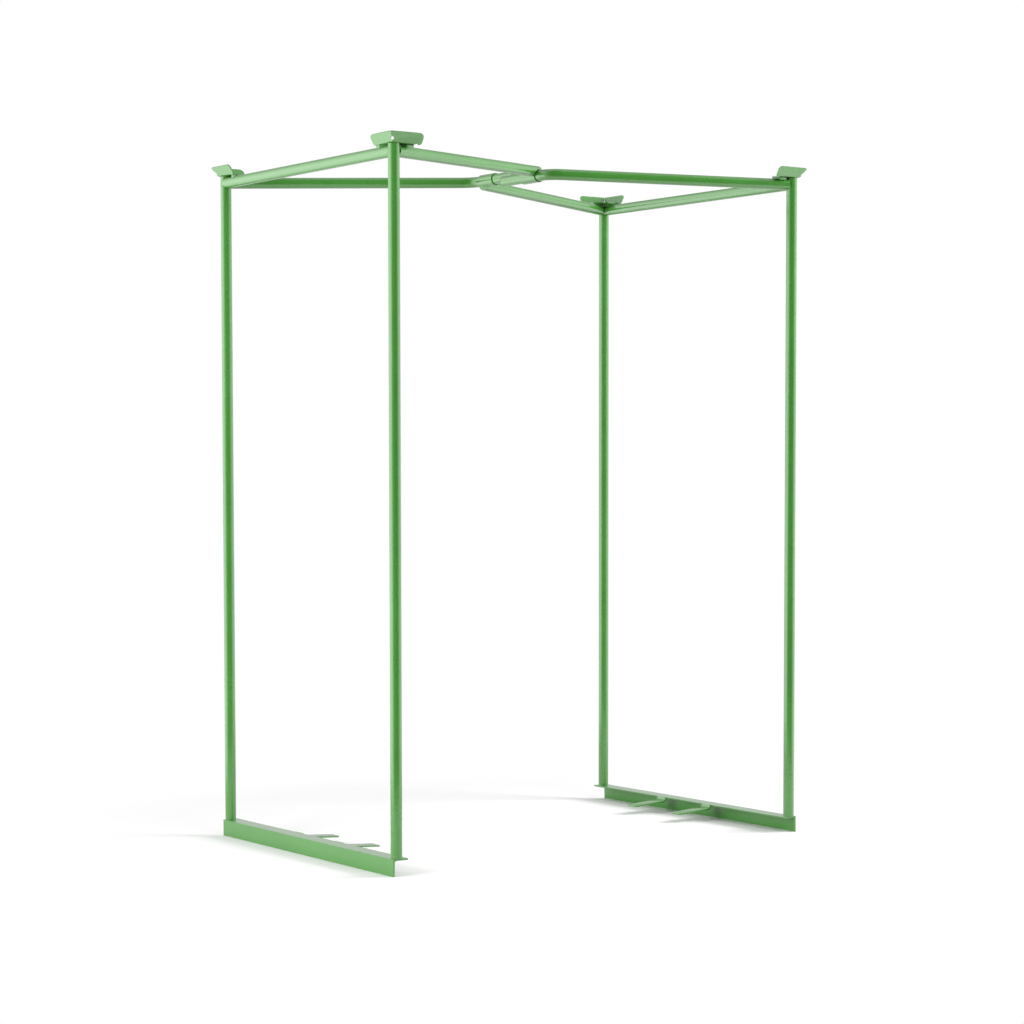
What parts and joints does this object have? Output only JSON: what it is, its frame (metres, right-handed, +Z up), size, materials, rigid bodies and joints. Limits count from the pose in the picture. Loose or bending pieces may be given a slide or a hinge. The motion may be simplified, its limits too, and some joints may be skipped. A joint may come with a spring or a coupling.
{
  "type": "pallet stacking frame",
  "caption": "Tubular steel stacking frame in two plug-together halves: angle rails for the pallet ends, tall posts, corner cups and crossing top arms.",
  "frame": {"origin": "centre of the footprint, on the level of the rails' lower edges", "axes": "+Z up, X along the pallet's 1200 mm length from the left half to the right half, Y along its 800 mm width"},
  "size_m": [1.2356, 0.8316, 1.673],
  "materials": {
    "coated_tube": "glossy green powder coat on steel tube",
    "coated_sheet": "glossy green powder coat on steel angle, strap and sheet",
    "coated_cap": "green powder coat on the plug's end cap"
  },
  "bodies": {
    "left_half": {"left_rail": "coated_sheet", "left_tongue_near": "coated_sheet", "left_tongue_far": "coated_sheet", "left_post_near": "coated_tube", "left_post_far": "coated_tube", "left_short_bar": "coated_tube", "left_straight_arm": "coated_tube", "left_bent_arm": "coated_tube", "left_sleeve": "coated_tube", "left_plug_cap": "coated_cap", "left_cup_base_near": "coated_sheet", "left_cup_base_far": "coated_sheet", "left_cup_near": "coated_sheet", "left_cup_far": "coated_sheet"},
    "right_half": {"right_rail": "coated_sheet", "right_tongue_near": "coated_sheet", "right_tongue_far": "coated_sheet", "right_post_near": "coated_tube", "right_post_far": "coated_tube", "right_short_bar": "coated_tube", "right_straight_arm": "coated_tube", "right_bent_arm": "coated_tube", "right_sleeve": "coated_tube", "right_plug_cap": "coated_cap", "right_cup_base_near": "coated_sheet", "right_cup_base_far": "coated_sheet", "right_cup_near": "coated_sheet", "right_cup_far": "coated_sheet"}
  },
  "joints": [
    {"name": "pull_apart", "type": "slide", "parent": "left_half", "child": "right_half", "axis": [0, -1, 0], "range_m": [0, 0.15]}
  ]
}
